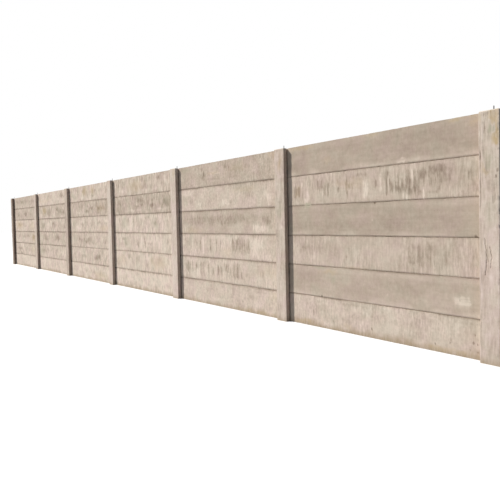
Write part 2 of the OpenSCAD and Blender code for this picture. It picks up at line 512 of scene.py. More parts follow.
def plank_outline(front, back, bed, top, grooved, tongued):
    """The plank's section, from its front bottom arris round the bed, the back and the top."""
    middle = (front + back) / 2

    def half(z, play):
        return TONGUE_WIDTH / 2 + play - TONGUE_DRAFT * z / TONGUE_HEIGHT
    shoulder = front + BEVEL_DEPTH
    bearing = shoulder + OPEN_DEPTH
    roof = TONGUE_HEIGHT + GROOVE_PLAY
    if grooved:
        under = [(front, bed + OPEN_JOINT + BEVEL_HEIGHT),
                 (shoulder, bed + OPEN_JOINT), (bearing, bed + OPEN_JOINT), (bearing, bed),
                 (middle - half(0, GROOVE_PLAY), bed), (middle - half(roof, GROOVE_PLAY), bed + roof),
                 (middle + half(roof, GROOVE_PLAY), bed + roof), (middle + half(0, GROOVE_PLAY), bed)]
    else:
        under = [(front, bed + ARRIS_CHAMFER), (front + ARRIS_CHAMFER, bed)]
    under += [(back - ARRIS_CHAMFER, bed), (back, bed + ARRIS_CHAMFER)]
    over = [(back, top - ARRIS_CHAMFER), (back - ARRIS_CHAMFER, top)]
    if tongued:
        over += [(middle + half(0, 0), top), (middle + half(TONGUE_HEIGHT, 0), top + TONGUE_HEIGHT),
                 (middle - half(TONGUE_HEIGHT, 0), top + TONGUE_HEIGHT), (middle - half(0, 0), top)]
    return under + over + [(front + ARRIS_CHAMFER, top), (front, top - ARRIS_CHAMFER)]


# What has happened to each face (bay, course): (metres from the left post's middle, metres above
# the plank's bed, half its width, half its height, strength). A dark mark is under 0, a pale one
# over and a hole under -1; a hole is carved in and also painted dark, as painted shade inside it.
FACE_MARKS_AND_HOLE_SHADE = {
    (6, 6): [
        (0.33, 0.33, 0.12, 0.05, -0.1), (0.84, 0.16, 0.05, 0.03, 0.22), (1.35, 0.33, 0.2, 0.05, -0.12),
        (2.1, 0.2, 0.5, 0.1, -0.08), (1.65, 0.03, 0.25, 0.02, 0.25), (1.98, 0.055, 0.05, 0.03, 0.35),
        (2.15, 0.03, 0.25, 0.02, 0.22), (2.62, 0.08, 0.1, 0.05, 0.2), (2.2, 0.28, 0.3, 0.08, -0.08),
        (2.72, 0.24, 0.1, 0.08, 0.16),
    ],
    (6, 5): [
        (0.32, 0.32, 0.1, 0.02, -0.2), (0.22, 0.27, 0.02, 0.03, 0.15), (0.46, 0.07, 0.05, 0.03, 0.25),
        (1.3, 0.33, 0.17, 0.04, -0.18), (2.54, 0.2, 0.02, 0.02, -0.2), (1.93, 0.15, 0.1, 0.04, -0.3),
        (0.46, 0.22, 0.07, 0.1, 0.2), (0.97, 0.24, 0.07, 0.1, 0.18), (1.45, 0.15, 0.08, 0.1, 0.18),
        (2.45, 0.04, 0.22, 0.02, 0.16), (2.42, 0.22, 0.4, 0.16, -0.1), (2.2, 0.26, 0.09, 0.05, -0.26),
        (2.4, 0.3, 0.11, 0.04, -0.28), (1.18, 0.26, 0.06, 0.012, 0.15),
    ],
    (6, 4): [
        (0.2, 0.26, 0.1, 0.1, 0.1), (1.556, 0.19, 0.012, 0.012, 0.45), (1.09, 0.18, 0.025, 0.01, 0.3),
        (1.5, 0.13, 0.55, 0.07, -0.12), (0.9, 0.12, 0.5, 0.05, -0.1), (2.83, 0.006, 0.016, 0.012, -1.6),
        (1.6, 0.385, 0.014, 0.012, -1.4),
    ],
    (6, 3): [
        (0.42, 0.25, 0.08, 0.05, -0.3), (0.68, 0.24, 0.05, 0.04, -0.14), (0.55, 0.13, 0.14, 0.05, 0.16),
        (1.15, 0.15, 0.02, 0.02, -0.38), (1.12, 0.09, 0.03, 0.03, -0.22), (1.55, 0.22, 0.4, 0.09, 0.12),
    ],
    (6, 2): [
        (2.2, 0.15, 0.3, 0.06, -0.1), (2.615, 0.145, 0.036, 0.036, 0.45),
        (2.675, 0.143, 0.038, 0.055, 0.45), (2.743, 0.128, 0.036, 0.06, 0.45),
        (2.652, 0.162, 0.006, 0.008, -0.6), (0.55, 0.07, 0.25, 0.04, 0.16), (0.8, 0.13, 0.08, 0.05, 0.12),
        (1.75, 0.1, 0.03, 0.06, 0.16), (1.9, 0.22, 0.3, 0.07, -0.16), (1.76, 0.13, 0.014, 0.012, 0.35),
        (2.2, 0.27, 0.45, 0.06, -0.14), (2.65, 0.24, 0.2, 0.04, -0.1), (0.45, 0.18, 0.3, 0.08, -0.08),
        (2.8, 0.1, 0.06, 0.05, -0.12), (0.72, 0.015, 0.012, 0.012, -1.4),
    ],
    (6, 1): [
        (0.25, 0.25, 0.01, 0.03, -0.35), (0.33, 0.25, 0.012, 0.03, -0.25), (0.32, 0.2, 0.1, 0.12, 0.16),
        (0.65, 0.34, 0.03, 0.02, -0.25), (0.56, 0.18, 0.015, 0.05, -0.3), (0.62, 0.2, 0.06, 0.06, -0.16),
        (0.78, 0.26, 0.05, 0.05, -0.2), (0.8, 0.33, 0.03, 0.06, 0.2), (0.88, 0.3, 0.01, 0.06, -0.22),
        (0.94, 0.18, 0.01, 0.07, -0.28), (1.02, 0.28, 0.1, 0.03, -0.18), (0.91, 0.09, 0.025, 0.03, -0.35),
        (1.18, 0.35, 0.16, 0.02, -0.28), (1.42, 0.36, 0.12, 0.012, -0.2), (1.35, 0.28, 0.18, 0.04, 0.18),
        (1.3, 0.15, 0.01, 0.06, -0.2), (1.36, 0.12, 0.008, 0.06, 0.25), (1.62, 0.25, 0.012, 0.03, -0.28),
        (1.7, 0.3, 0.01, 0.04, -0.25), (1.65, 0.12, 0.06, 0.04, -0.18), (2.0, 0.17, 0.03, 0.03, 0.28),
        (1.85, 0.22, 0.1, 0.08, 0.1), (2.13, 0.24, 0.01, 0.03, -0.3), (2.15, 0.12, 0.15, 0.04, -0.12),
        (2.44, 0.28, 0.16, 0.06, 0.18), (2.3, 0.36, 0.3, 0.014, -0.12), (2.55, 0.14, 0.007, 0.05, -0.35),
        (2.6, 0.16, 0.05, 0.08, -0.1), (2.75, 0.35, 0.09, 0.02, -0.22), (2.8, 0.2, 0.04, 0.14, -0.18),
        (1.53, 0.1, 0.008, 0.014, -1.4), (2.37, 0.08, 0.008, 0.012, -1.2),
        (2.795, 0.16, 0.007, 0.012, -1.4), (2.84, 0.07, 0.007, 0.01, -1.2),
        (2.76, 0.08, 0.006, 0.008, -1.2), (2.54, 0.12, 0.006, 0.012, -1.2),
        (2.81, 0.24, 0.006, 0.008, -1.2), (2.84, 0.15, 0.006, 0.01, -1.2),
    ],
    (5, 6): [
        (0.28, 0.3, 0.15, 0.06, -0.12), (0.5, 0.22, 0.3, 0.05, -0.12), (0.88, 0.3, 0.02, 0.05, -0.45),
        (0.95, 0.25, 0.02, 0.06, -0.45), (0.92, 0.19, 0.09, 0.05, -0.3), (1.3, 0.215, 0.22, 0.014, 0.4),
        (1.18, 0.3, 0.2, 0.02, 0.16), (1.6, 0.3, 0.04, 0.07, -0.42), (1.68, 0.28, 0.02, 0.06, -0.35),
        (1.4, 0.12, 0.55, 0.02, -0.22), (1.75, 0.16, 0.2, 0.08, -0.16), (2.35, 0.35, 0.3, 0.04, -0.18),
        (2.3, 0.22, 0.08, 0.08, 0.2), (0.7, 0.02, 0.12, 0.03, 0.22), (2.05, 0.24, 0.2, 0.07, -0.22),
        (2.75, 0.12, 0.08, 0.06, 0.16),
    ],
    (5, 5): [
        (0.38, 0.31, 0.2, 0.07, 0.32), (0.5, 0.14, 0.014, 0.06, -0.55), (0.55, 0.15, 0.014, 0.06, -0.5),
        (0.38, 0.14, 0.014, 0.05, -0.35), (0.79, 0.12, 0.08, 0.05, 0.38), (1.58, 0.11, 0.1, 0.05, 0.48),
        (1.74, 0.11, 0.08, 0.04, -0.3), (2.22, 0.2, 0.02, 0.05, -0.35), (2.28, 0.16, 0.014, 0.05, -0.35),
        (2.66, 0.15, 0.12, 0.09, 0.38), (2.1, 0.34, 0.25, 0.03, -0.18), (0.7, 0.28, 0.1, 0.05, -0.18),
        (1.1, 0.22, 0.014, 0.08, -0.25), (1.3, 0.2, 0.05, 0.06, -0.18), (1.85, 0.22, 0.014, 0.07, -0.25),
        (2.45, 0.25, 0.05, 0.06, 0.16),
    ],
    (5, 4): [
        (0.6, 0.25, 0.5, 0.09, -0.2), (1.2, 0.24, 0.4, 0.1, -0.16), (1.65, 0.24, 0.35, 0.11, -0.2),
        (2.05, 0.27, 0.25, 0.07, -0.18), (2.5, 0.29, 0.22, 0.06, -0.12), (2.4, 0.1, 0.16, 0.05, 0.25),
        (1.95, 0.12, 0.25, 0.06, 0.18), (0.25, 0.12, 0.12, 0.08, 0.14), (0.6, 0.07, 0.3, 0.03, 0.18),
    ],
    (5, 3): [
        (0.7, 0.24, 0.12, 0.09, -0.22), (0.4, 0.24, 0.18, 0.1, -0.12), (1.95, 0.2, 0.2, 0.1, -0.14),
        (2.35, 0.2, 0.12, 0.13, 0.12),
    ],
    (5, 2): [
        (0.32, 0.22, 0.13, 0.09, -0.22), (0.95, 0.28, 0.15, 0.05, -0.25), (2.3, 0.12, 0.15, 0.06, 0.16),
    ],
    (5, 1): [
        (1.1, 0.34, 0.6, 0.02, -0.16), (2.45, 0.34, 0.2, 0.015, -0.26), (1.72, 0.3, 0.08, 0.04, -0.18),
        (2.74, 0.17, 0.06, 0.06, 0.2), (2.7, 0.18, 0.03, 0.05, -0.26), (0.4, 0.2, 0.15, 0.1, 0.14),
        (2.2, 0.22, 0.2, 0.03, -0.14), (2.0, 0.15, 0.02, 0.02, -0.28),
    ],
    (4, 6): [
        (0.35, 0.27, 0.08, 0.05, -0.45), (0.57, 0.25, 0.04, 0.07, -0.2), (0.75, 0.27, 0.03, 0.04, -0.35),
        (1.22, 0.22, 0.16, 0.08, -0.3), (1.58, 0.3, 0.09, 0.05, -0.4), (1.75, 0.17, 0.16, 0.05, -0.38),
        (2.1, 0.3, 0.06, 0.04, -0.25), (2.3, 0.29, 0.07, 0.05, -0.5), (2.6, 0.2, 0.12, 0.1, 0.15),
        (0.9, 0.1, 0.5, 0.04, 0.22), (2.2, 0.08, 0.3, 0.03, 0.25),
    ],
    (4, 5): [
        (0.42, 0.24, 0.1, 0.06, -0.35), (0.3, 0.12, 0.1, 0.05, -0.2), (1.45, 0.28, 0.2, 0.05, -0.4),
        (1.38, 0.16, 0.1, 0.03, -0.35), (1.55, 0.18, 0.05, 0.03, -0.35), (2.02, 0.27, 0.08, 0.05, -0.4),
        (2.0, 0.17, 0.12, 0.04, -0.6), (2.2, 0.24, 0.07, 0.05, 0.25), (2.64, 0.21, 0.16, 0.08, -0.5),
        (1.2, 0.08, 0.4, 0.03, 0.35), (2.35, 0.08, 0.2, 0.03, 0.4), (0.9, 0.33, 0.3, 0.03, -0.2),
    ],
    (4, 4): [
        (0.4, 0.26, 0.03, 0.07, -0.42), (0.56, 0.22, 0.04, 0.09, -0.38), (0.66, 0.22, 0.03, 0.09, -0.45),
        (0.84, 0.26, 0.05, 0.07, -0.35), (1.12, 0.22, 0.03, 0.09, -0.45), (0.98, 0.2, 0.07, 0.14, 0.75),
        (1.21, 0.22, 0.05, 0.12, 0.2), (1.7, 0.31, 0.05, 0.04, -0.38), (1.82, 0.32, 0.04, 0.04, -0.38),
        (1.93, 0.2, 0.04, 0.08, -0.32), (2.12, 0.2, 0.07, 0.04, -0.55), (2.1, 0.28, 0.06, 0.03, -0.3),
        (2.45, 0.3, 0.1, 0.05, 0.2), (2.55, 0.25, 0.1, 0.08, 0.25),
    ],
    (4, 3): [
        (0.57, 0.27, 0.09, 0.04, -0.55), (0.7, 0.2, 0.06, 0.09, -0.45), (0.5, 0.15, 0.03, 0.06, -0.3),
        (1.36, 0.18, 0.06, 0.08, -0.55), (1.3, 0.15, 0.05, 0.05, -0.25), (1.48, 0.2, 0.05, 0.13, 0.45),
        (1.64, 0.18, 0.06, 0.09, -0.55), (1.85, 0.18, 0.1, 0.03, -0.38), (1.75, 0.07, 0.03, 0.05, -0.3),
        (2.25, 0.22, 0.16, 0.13, 0.35), (2.6, 0.22, 0.04, 0.08, -0.42), (2.68, 0.12, 0.05, 0.05, -0.25),
    ],
    (4, 2): [
        (0.87, 0.3, 0.1, 0.06, -0.5), (0.48, 0.2, 0.03, 0.06, -0.3), (0.68, 0.2, 0.04, 0.08, -0.3),
        (1.0, 0.22, 0.03, 0.08, -0.25), (1.3, 0.2, 0.05, 0.06, -0.15), (1.62, 0.28, 0.08, 0.07, 0.35),
        (1.8, 0.27, 0.08, 0.08, 0.35), (2.2, 0.3, 0.25, 0.04, -0.16), (2.62, 0.27, 0.03, 0.04, -0.35),
        (2.65, 0.15, 0.06, 0.05, 0.3),
    ],
    (4, 1): [
        (0.6, 0.22, 0.12, 0.05, -0.18), (1.1, 0.09, 0.08, 0.03, -0.35), (1.9, 0.13, 0.2, 0.03, -0.22),
        (2.1, 0.1, 0.05, 0.05, -0.3), (2.5, 0.25, 0.15, 0.1, 0.16), (2.8, 0.18, 0.016, 0.11, -0.95),
    ],
    (3, 6): [
        (0.74, 0.28, 0.12, 0.05, -0.45), (1.25, 0.24, 0.15, 0.07, -0.42), (1.4, 0.16, 0.04, 0.07, -0.38),
        (1.83, 0.24, 0.12, 0.05, -0.45), (1.8, 0.13, 0.1, 0.03, -0.4), (2.65, 0.2, 0.05, 0.06, -0.3),
        (0.9, 0.1, 0.05, 0.06, -0.22), (2.2, 0.3, 0.15, 0.05, 0.25), (1.05, 0.08, 0.12, 0.04, 0.45),
    ],
    (3, 5): [
        (1.68, 0.21, 0.12, 0.06, -0.55), (1.42, 0.14, 0.12, 0.04, -0.5), (0.4, 0.25, 0.15, 0.06, -0.22),
        (2.05, 0.3, 0.1, 0.06, -0.32), (2.18, 0.19, 0.14, 0.05, -0.52), (2.42, 0.2, 0.06, 0.06, -0.4),
        (2.62, 0.25, 0.12, 0.08, -0.32), (2.2, 0.09, 0.15, 0.03, -0.28), (0.75, 0.12, 0.25, 0.04, 0.35),
        (1.1, 0.3, 0.3, 0.05, -0.18),
    ],
    (3, 4): [
        (1.0, 0.2, 0.12, 0.05, -0.38), (0.38, 0.22, 0.12, 0.04, -0.3), (1.85, 0.11, 0.05, 0.04, -0.32),
        (1.35, 0.24, 0.1, 0.06, -0.3), (2.2, 0.25, 0.1, 0.04, -0.32), (2.35, 0.2, 0.04, 0.04, -0.3),
        (2.5, 0.1, 0.3, 0.05, 0.25), (0.75, 0.12, 0.2, 0.06, 0.5), (2.65, 0.3, 0.1, 0.05, 0.35),
        (1.9, 0.32, 0.3, 0.04, -0.16),
    ],
    (3, 3): [
        (0.4, 0.2, 0.06, 0.05, -0.35), (0.82, 0.24, 0.11, 0.05, -0.36), (1.1, 0.19, 0.24, 0.07, -0.36),
        (1.32, 0.2, 0.16, 0.07, -0.3), (1.53, 0.22, 0.13, 0.1, -0.6), (1.76, 0.14, 0.1, 0.05, -0.32),
        (2.55, 0.16, 0.06, 0.06, -0.4), (2.2, 0.2, 0.2, 0.1, 0.2), (0.9, 0.32, 0.3, 0.04, -0.18),
    ],
    (3, 2): [
        (1.1, 0.18, 0.16, 0.05, -0.38), (1.92, 0.17, 0.2, 0.06, -0.4), (2.12, 0.19, 0.16, 0.08, -0.52),
        (2.5, 0.15, 0.15, 0.08, -0.22), (0.4, 0.2, 0.15, 0.06, -0.2), (0.6, 0.33, 0.3, 0.03, 0.2),
    ],
    (3, 1): [(1.7, 0.2, 0.4, 0.05, -0.14), (2.3, 0.15, 0.2, 0.05, -0.16)],
    (2, 6): [
        (0.2, 0.27, 0.1, 0.04, -0.3), (1.35, 0.27, 0.25, 0.05, -0.35), (2.4, 0.24, 0.2, 0.08, -0.45),
        (1.2, 0.12, 0.05, 0.05, -0.3), (2.78, 0.3, 0.08, 0.08, -0.45), (0.8, 0.15, 0.3, 0.05, 0.22),
    ],
    (2, 5): [
        (0.77, 0.24, 0.16, 0.1, -0.48), (1.22, 0.22, 0.16, 0.12, -0.48), (1.95, 0.28, 0.1, 0.06, -0.5),
        (2.2, 0.18, 0.28, 0.1, -0.48), (2.6, 0.2, 0.15, 0.08, -0.45), (0.38, 0.12, 0.16, 0.07, 0.4),
        (1.66, 0.17, 0.14, 0.12, 0.4),
    ],
    (2, 4): [
        (0.6, 0.21, 0.17, 0.09, -0.42), (0.28, 0.09, 0.1, 0.05, 0.35), (1.12, 0.2, 0.18, 0.12, 0.35),
        (1.67, 0.2, 0.2, 0.1, -0.42), (2.05, 0.2, 0.05, 0.1, -0.25), (2.22, 0.16, 0.14, 0.06, -0.25),
        (2.62, 0.15, 0.06, 0.05, -0.52),
    ],
    (2, 3): [
        (0.35, 0.2, 0.18, 0.12, 0.35), (0.79, 0.25, 0.15, 0.08, -0.48), (0.92, 0.16, 0.16, 0.05, -0.35),
        (1.82, 0.25, 0.22, 0.07, -0.48), (1.7, 0.15, 0.15, 0.04, -0.22), (2.1, 0.21, 0.2, 0.08, -0.38),
        (2.65, 0.15, 0.12, 0.08, 0.2),
    ],
    (2, 2): [
        (0.5, 0.22, 0.28, 0.05, -0.4), (1.0, 0.25, 0.1, 0.05, -0.22), (1.76, 0.22, 0.17, 0.1, -0.42),
        (2.25, 0.17, 0.2, 0.08, 0.25), (2.5, 0.18, 0.22, 0.12, 0.35),
    ],
    (2, 1): [(0.3, 0.3, 0.25, 0.06, 0.16), (1.4, 0.2, 0.3, 0.05, -0.16), (2.2, 0.25, 0.25, 0.08, 0.16)],
    (1, 6): [
        (0.55, 0.22, 0.2, 0.05, -0.25), (1.15, 0.22, 0.18, 0.05, -0.45), (1.7, 0.22, 0.15, 0.06, -0.35),
        (2.1, 0.2, 0.12, 0.05, -0.4), (2.5, 0.2, 0.15, 0.08, -0.22),
    ],
    (1, 5): [
        (0.6, 0.22, 0.15, 0.1, -0.35), (0.75, 0.16, 0.12, 0.05, -0.35), (1.55, 0.2, 0.2, 0.08, -0.55),
        (1.1, 0.25, 0.15, 0.06, -0.22), (2.2, 0.18, 0.2, 0.05, -0.32), (2.55, 0.25, 0.2, 0.08, 0.18),
    ],
    (1, 4): [
        (0.7, 0.25, 0.15, 0.06, -0.5), (1.2, 0.24, 0.3, 0.05, -0.38), (1.5, 0.18, 0.2, 0.03, -0.35),
        (2.0, 0.2, 0.2, 0.06, -0.22), (0.5, 0.08, 0.3, 0.03, 0.3), (2.4, 0.28, 0.15, 0.05, -0.22),
    ],
    (1, 3): [
        (0.7, 0.22, 0.1, 0.08, -0.35), (1.3, 0.22, 0.3, 0.06, -0.3), (1.8, 0.25, 0.25, 0.05, -0.32),
        (2.45, 0.22, 0.16, 0.07, -0.55), (0.5, 0.06, 0.4, 0.03, 0.2),
    ],
    (1, 2): [
        (0.8, 0.2, 0.3, 0.06, -0.45), (0.95, 0.05, 0.15, 0.04, -0.42), (1.6, 0.22, 0.25, 0.06, -0.26),
        (2.4, 0.2, 0.25, 0.1, 0.22), (0.4, 0.32, 0.2, 0.03, 0.2),
    ],
    (1, 1): [(0.9, 0.1, 0.2, 0.03, -0.28), (1.7, 0.1, 0.15, 0.04, 0.2), (0.5, 0.3, 0.3, 0.05, 0.14)],
}
# Zones of upright streaks on the faces: (left and right end in metres from the left post's
# middle, low and high end above the plank's bed, strength)
FACE_STREAKS = {
    (6, 5): [
        (0.22, 0.34, 0.1, 0.27, -0.6), (0.37, 0.4, 0.08, 0.2, -0.4), (0.36, 0.39, 0.22, 0.32, 0.5),
        (0.42, 0.52, 0.03, 0.18, 0.3), (0.43, 0.46, 0.09, 0.2, -0.4), (0.6, 0.66, 0.04, 0.2, 0.2),
        (0.66, 0.76, 0.17, 0.33, -0.4), (0.76, 0.82, 0.1, 0.26, -0.3), (0.745, 0.775, 0.08, 0.2, 0.4),
        (0.84, 0.87, 0.09, 0.29, -0.6), (1.01, 1.05, 0.12, 0.22, -0.5), (1.14, 1.5, 0.28, 0.35, -0.15),
        (1.15, 1.27, 0.14, 0.26, -0.4), (1.17, 1.27, 0.07, 0.13, -0.4), (1.28, 1.34, 0.1, 0.25, 0.2),
        (1.36, 1.4, 0.12, 0.22, -0.3), (1.42, 1.5, 0.08, 0.28, 0.3), (1.6, 1.63, 0.15, 0.28, -0.5),
        (1.66, 1.71, 0.1, 0.33, 0.3), (1.72, 1.8, 0.24, 0.35, -0.3), (1.75, 1.785, 0.09, 0.2, -0.3),
        (1.785, 1.8, 0.1, 0.26, 0.8), (1.8, 1.85, 0.1, 0.22, -0.15), (1.86, 1.88, 0.09, 0.25, 0.6),
        (1.76, 2.17, 0.08, 0.24, -0.4), (2.02, 2.08, 0.2, 0.33, -0.3), (1.9, 1.97, 0.24, 0.34, -0.2),
        (1.95, 1.965, 0.14, 0.22, 0.5), (2.0, 2.015, 0.14, 0.24, 0.4), (1.98, 2.0, 0.02, 0.1, 0.6),
        (2.03, 2.045, 0.02, 0.1, 0.6), (2.095, 2.115, 0.12, 0.34, 0.9), (2.06, 2.22, 0.05, 0.12, -0.3),
        (2.12, 2.28, 0.21, 0.33, -0.3), (2.13, 2.3, 0.12, 0.22, -0.2), (2.285, 2.3, 0.12, 0.34, 0.3),
        (2.3, 2.5, 0.25, 0.35, -0.3), (2.31, 2.35, 0.12, 0.25, -0.3), (2.24, 2.255, 0.0, 0.1, 1.1),
        (2.28, 2.45, 0.05, 0.1, -0.3), (2.36, 2.56, 0.12, 0.26, -0.2), (2.5, 2.58, 0.22, 0.32, -0.15),
        (2.56, 2.72, 0.08, 0.3, -0.1), (2.73, 2.86, 0.06, 0.34, -0.15), (2.752, 2.762, 0.17, 0.27, -0.6),
        (2.74, 2.75, 0.25, 0.35, 0.5),
    ],
    (6, 3): [
        (2.04, 2.2, 0.1, 0.32, -0.3), (2.18, 2.38, 0.08, 0.34, -0.3), (2.44, 2.6, 0.08, 0.33, -0.2),
        (2.6, 2.74, 0.12, 0.34, -0.15), (2.76, 2.86, 0.08, 0.34, -0.15),
    ],
    (6, 2): [(2.66, 2.8, 0.175, 0.26, 0.15), (2.59, 2.77, 0.11, 0.19, 0.1)],
    (5, 4): [
        (0.2, 1.75, 0.14, 0.3, -0.1), (0.6, 0.74, 0.1, 0.22, -0.1), (1.45, 1.74, 0.14, 0.3, -0.05),
        (1.78, 2.2, 0.13, 0.28, -0.15), (2.0, 2.06, 0.1, 0.2, 0.15), (2.26, 2.38, 0.16, 0.32, -0.1),
        (2.295, 2.315, 0.06, 0.16, 0.5), (2.34, 2.36, 0.06, 0.16, 0.4), (2.36, 2.66, 0.03, 0.15, 0.3),
        (2.5, 2.7, 0.18, 0.28, -0.3), (2.57, 2.7, 0.14, 0.24, -0.3), (2.66, 2.82, 0.1, 0.2, -0.15),
        (2.7, 2.79, 0.2, 0.31, -0.2),
    ],
    (5, 3): [
        (0.2, 0.5, 0.1, 0.35, -0.2), (0.55, 0.7, 0.12, 0.35, -0.1), (0.76, 0.8, 0.1, 0.33, -0.4),
        (0.85, 0.91, 0.08, 0.33, 0.4), (1.09, 1.16, 0.1, 0.32, -0.3), (1.09, 1.105, 0.1, 0.32, -0.4),
        (1.17, 1.27, 0.1, 0.3, 0.2), (1.275, 1.3, 0.1, 0.33, -0.6), (1.39, 1.42, 0.12, 0.3, -0.4),
        (1.45, 1.72, 0.05, 0.35, 0.2), (1.73, 1.88, 0.1, 0.34, -0.3), (1.88, 2.21, 0.09, 0.35, -0.3),
        (1.74, 1.755, 0.1, 0.35, -0.3), (2.15, 2.2, 0.1, 0.35, -0.2), (2.21, 2.52, 0.04, 0.36, 0.3),
        (2.52, 2.85, 0.1, 0.35, -0.15),
    ],
    (5, 2): [
        (0.28, 0.55, 0.13, 0.29, -0.3), (0.62, 0.66, 0.17, 0.31, -0.6), (0.65, 0.76, 0.03, 0.22, 0.4),
        (0.76, 0.9, 0.08, 0.31, -0.3), (0.9, 1.0, 0.1, 0.28, 0.15), (1.0, 1.06, 0.12, 0.28, -0.4),
        (1.14, 1.2, 0.09, 0.26, -0.5), (1.28, 1.36, 0.12, 0.28, -0.5), (1.38, 1.45, 0.1, 0.28, -0.5),
        (1.45, 1.51, 0.08, 0.25, 0.2), (1.51, 1.64, 0.17, 0.32, -0.4), (1.66, 1.69, 0.14, 0.26, -0.6),
        (1.74, 1.93, 0.09, 0.35, -0.4), (1.95, 2.0, 0.12, 0.2, -0.5), (2.05, 2.13, 0.13, 0.2, -0.3),
        (2.43, 2.46, 0.17, 0.26, -0.4), (2.49, 2.52, 0.17, 0.26, -0.4),
    ],
}
# What has coloured each face, in the same columns as the face marks above: over 0 rust and ochre dust,
# under 0 green algae
FACE_STAINS = {
    (6, 6): [
        (0.35, 0.37, 0.2, 0.03, 0.5), (0.84, 0.16, 0.06, 0.04, 0.3), (1.55, 0.38, 0.1, 0.03, 0.35),
        (2.8, 0.35, 0.05, 0.06, 0.38), (2.62, 0.385, 0.08, 0.025, 0.5),
    ],
    (6, 5): [
        (1.22, 0.24, 0.2, 0.06, 0.25), (0.3, 0.18, 0.06, 0.07, 0.3), (0.48, 0.01, 0.07, 0.025, -1.0),
    ],
    (6, 4): [(0.48, 0.39, 0.07, 0.025, -1.0)],
    (6, 3): [(1.3, 0.01, 0.15, 0.02, 0.35)],
    (6, 2): [
        (0.7, 0.38, 0.1, 0.02, -0.6), (0.85, 0.34, 0.15, 0.03, 0.35), (0.92, 0.24, 0.03, 0.08, -0.5),
    ],
    (6, 1): [
        (0.32, 0.05, 0.1, 0.03, 0.5), (0.48, 0.06, 0.06, 0.03, 0.6), (0.72, 0.07, 0.03, 0.03, 0.4),
        (1.15, 0.08, 0.1, 0.03, 0.3), (2.5, 0.04, 0.3, 0.02, 0.4),
    ],
    (5, 6): [
        (0.32, 0.34, 0.15, 0.04, -0.6), (1.2, 0.22, 0.15, 0.02, 0.45), (2.8, 0.36, 0.1, 0.05, 0.4),
        (1.9, 0.25, 0.3, 0.06, 0.2),
    ],
    (5, 5): [(2.1, 0.3, 0.3, 0.04, 0.25), (0.3, 0.2, 0.2, 0.1, -0.25)],
    (5, 4): [(0.55, 0.06, 0.25, 0.05, 0.3), (2.3, 0.28, 0.3, 0.04, -0.3)],
    (5, 3): [(0.35, 0.2, 0.12, 0.12, -0.15), (1.6, 0.12, 0.1, 0.1, 0.25)],
    (5, 2): [(0.35, 0.2, 0.12, 0.12, -0.15), (2.6, 0.25, 0.25, 0.08, 0.2)],
    (5, 1): [(2.4, 0.04, 0.4, 0.02, 0.4), (2.75, 0.3, 0.1, 0.06, 0.2)],
    (4, 6): [(1.25, 0.2, 0.3, 0.12, 0.4)],
    (4, 5): [(2.6, 0.22, 0.15, 0.1, -0.55)],
    (4, 4): [(0.62, 0.2, 0.2, 0.12, -0.5), (2.1, 0.2, 0.15, 0.08, -0.45)],
    (4, 3): [(0.72, 0.2, 0.1, 0.12, -0.5)],
    (4, 2): [(2.2, 0.2, 0.3, 0.15, 0.4), (0.5, 0.2, 0.2, 0.12, 0.3), (1.3, 0.2, 0.2, 0.1, -0.25)],
    (3, 6): [(1.25, 0.25, 0.15, 0.1, 0.6), (1.8, 0.25, 0.12, 0.1, 0.6), (0.35, 0.2, 0.15, 0.1, -0.35)],
    (3, 5): [(2.3, 0.2, 0.25, 0.1, 0.3)],
    (3, 4): [(0.4, 0.2, 0.15, 0.12, -0.35), (2.5, 0.1, 0.3, 0.06, 0.4)],
    (3, 3): [(0.4, 0.2, 0.1, 0.1, -0.35)],
    (3, 1): [(2.2, 0.15, 0.4, 0.08, 0.4)],
    (2, 6): [(2.8, 0.3, 0.08, 0.1, 0.5), (0.8, 0.15, 0.5, 0.05, 0.3)],
    (2, 5): [(0.72, 0.25, 0.2, 0.1, 0.7), (2.2, 0.2, 0.3, 0.1, -0.3)],
    (2, 4): [(0.45, 0.2, 0.2, 0.12, -0.5)],
    (2, 3): [(0.35, 0.2, 0.25, 0.15, -0.5)],
    (2, 2): [(0.4, 0.2, 0.3, 0.12, -0.45)],
    (1, 6): [(1.2, 0.2, 0.3, 0.1, -0.3)],
    (1, 5): [(2.5, 0.2, 0.25, 0.15, -0.3)],
    (1, 4): [(0.7, 0.22, 0.4, 0.12, 0.6), (2.3, 0.2, 0.3, 0.12, 0.35)],
    (1, 3): [(2.45, 0.2, 0.2, 0.12, 0.7)],
    (1, 2): [(2.4, 0.2, 0.25, 0.12, 0.3)],
}
# How pale each face of a bay has weathered, from the ground plank up
PALENESS = {
    6: (0.72, 0.51, 0.62, 0.43, 0.60, 0.42), 5: (0.76, 0.76, 0.76, 0.62, 0.70, 0.56),
    4: (0.86, 0.80, 0.80, 0.78, 0.55, 0.66), 3: (0.84, 0.72, 0.70, 0.72, 0.58, 0.72),
    2: (0.83, 0.72, 0.68, 0.67, 0.65, 0.76), 1: (0.86, 0.72, 0.70, 0.78, 0.62, 0.60),
}
# How rippled and how mottled each face of a bay is, from the ground plank up; under SMOOTH it
# came off a smooth mould
RIPPLED = {
    6: (0.70, 0.06, 0.70, 0.06, 0.85, 0.08), 5: (0.50, 1.00, 1.10, 0.45, 0.60, 0.45),
    4: (0.80, 0.90, 0.80, 0.80, 0.50, 0.50), 3: (0.60, 0.70, 0.60, 0.70, 0.60, 0.60),
    2: (0.60,) * 6, 1: (0.60,) * 6,
}
SMOOTH = 0.1
MOTTLED = {
    6: (0.60, 0.16, 0.30, 0.10, 0.40, 0.12), 5: (0.90, 0.70, 0.70, 0.65, 0.90, 1.00),
    4: (1.20, 1.20, 1.20, 1.30, 1.40, 1.40), 3: (1.30,) + (1.40,) * 5,
    2: (1.30,) + (1.40,) * 5, 1: (1.30,) + (1.40,) * 5,
}
# Where mortar smeared into the joint under a plank fills it (metres from the left post's middle)
MORTAR = {(6, 5): (0.42, 0.55)}
